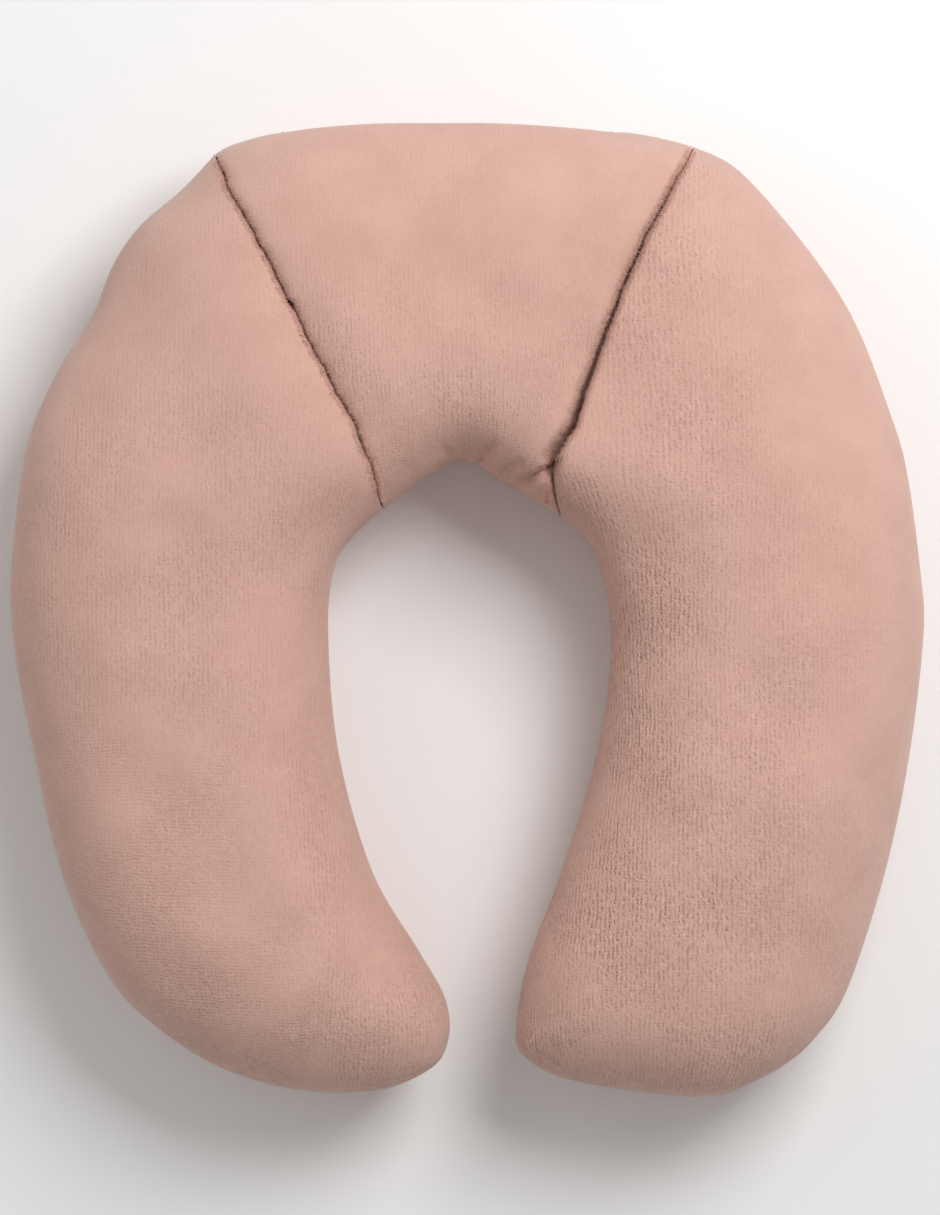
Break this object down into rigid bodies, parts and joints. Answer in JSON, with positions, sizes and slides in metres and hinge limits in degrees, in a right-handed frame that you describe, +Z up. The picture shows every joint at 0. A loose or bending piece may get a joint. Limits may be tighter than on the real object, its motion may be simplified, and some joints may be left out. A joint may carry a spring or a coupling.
{
  "type": "nursing pillow",
  "caption": "U-shaped plush nursing pillow: a stuffed wedge behind the waist, sewn along fold seams to a curved stuffed arm on either side.",
  "frame": {"origin": "under the middle of the pillow's outline, on the surface it lies on", "axes": "+Y to the back of the pillow, where the wedge is; +X to the right-hand arm seen from above with the back at the top; +Z up"},
  "size_m": [0.5586, 0.5969, 0.14],
  "materials": {
    "plush_cover": "short-pile ribbed plush, matt with a soft sheen",
    "liner_cloth": "thin plain-woven lining, matt",
    "fibre_fill": "loose polyester fibre, matt",
    "woven_tape": "narrow woven tape, matt",
    "zip_coil": "moulded nylon coil, satin",
    "zip_metal": "cast and plated, satin",
    "label_cloth": "blank satin-woven label"
  },
  "bodies": {
    "centre": {"centre_top_panel": "plush_cover", "centre_base_panel": "plush_cover", "centre_liner_top": "liner_cloth", "centre_liner_base": "liner_cloth", "centre_fill": "fibre_fill", "left_seam_tape": "woven_tape", "right_seam_tape": "woven_tape", "zip_tape_upper": "woven_tape", "zip_tape_lower": "woven_tape", "zip_coil_upper": "zip_coil", "zip_coil_lower": "zip_coil", "zip_top_stop_upper": "zip_metal", "zip_top_stop_lower": "zip_metal", "zip_bottom_stop": "zip_metal", "care_label": "label_cloth"},
    "left_arm": {"left_arm_top_panel": "plush_cover", "left_arm_base_panel": "plush_cover", "left_arm_liner_top": "liner_cloth", "left_arm_liner_base": "liner_cloth", "left_arm_fill": "fibre_fill"},
    "right_arm": {"right_arm_top_panel": "plush_cover", "right_arm_base_panel": "plush_cover", "right_arm_liner_top": "liner_cloth", "right_arm_liner_base": "liner_cloth", "right_arm_fill": "fibre_fill"},
    "zip_slider": {"zip_slider_body": "zip_metal"},
    "zip_pull": {"zip_pull_tab": "zip_metal"}
  },
  "joints": [
    {"name": "left_arm_fold", "type": "hinge", "parent": "centre", "child": "left_arm", "pos_m": [-0.10249, 0.17034, 0.07], "axis": [-0.4293, 0.9032, 0], "range_deg": [-20, 20], "stiffness_Nm_per_rad": 4},
    {"name": "right_arm_fold", "type": "hinge", "parent": "centre", "child": "right_arm", "pos_m": [0.09811, 0.17028, 0.07], "axis": [-0.3396, -0.9406, 0], "range_deg": [-20, 20], "stiffness_Nm_per_rad": 4},
    {"name": "zip_slide", "type": "slide", "parent": "centre", "child": "zip_slider", "axis": [1, 0, 0], "range_m": [0, 0.146]},
    {"name": "zip_pull_swing", "type": "hinge", "parent": "zip_slider", "child": "zip_pull", "pos_m": [-0.0932, 0.28824, 0.07], "axis": [0, 0, 1], "range_deg": [0, 110]}
  ]
}
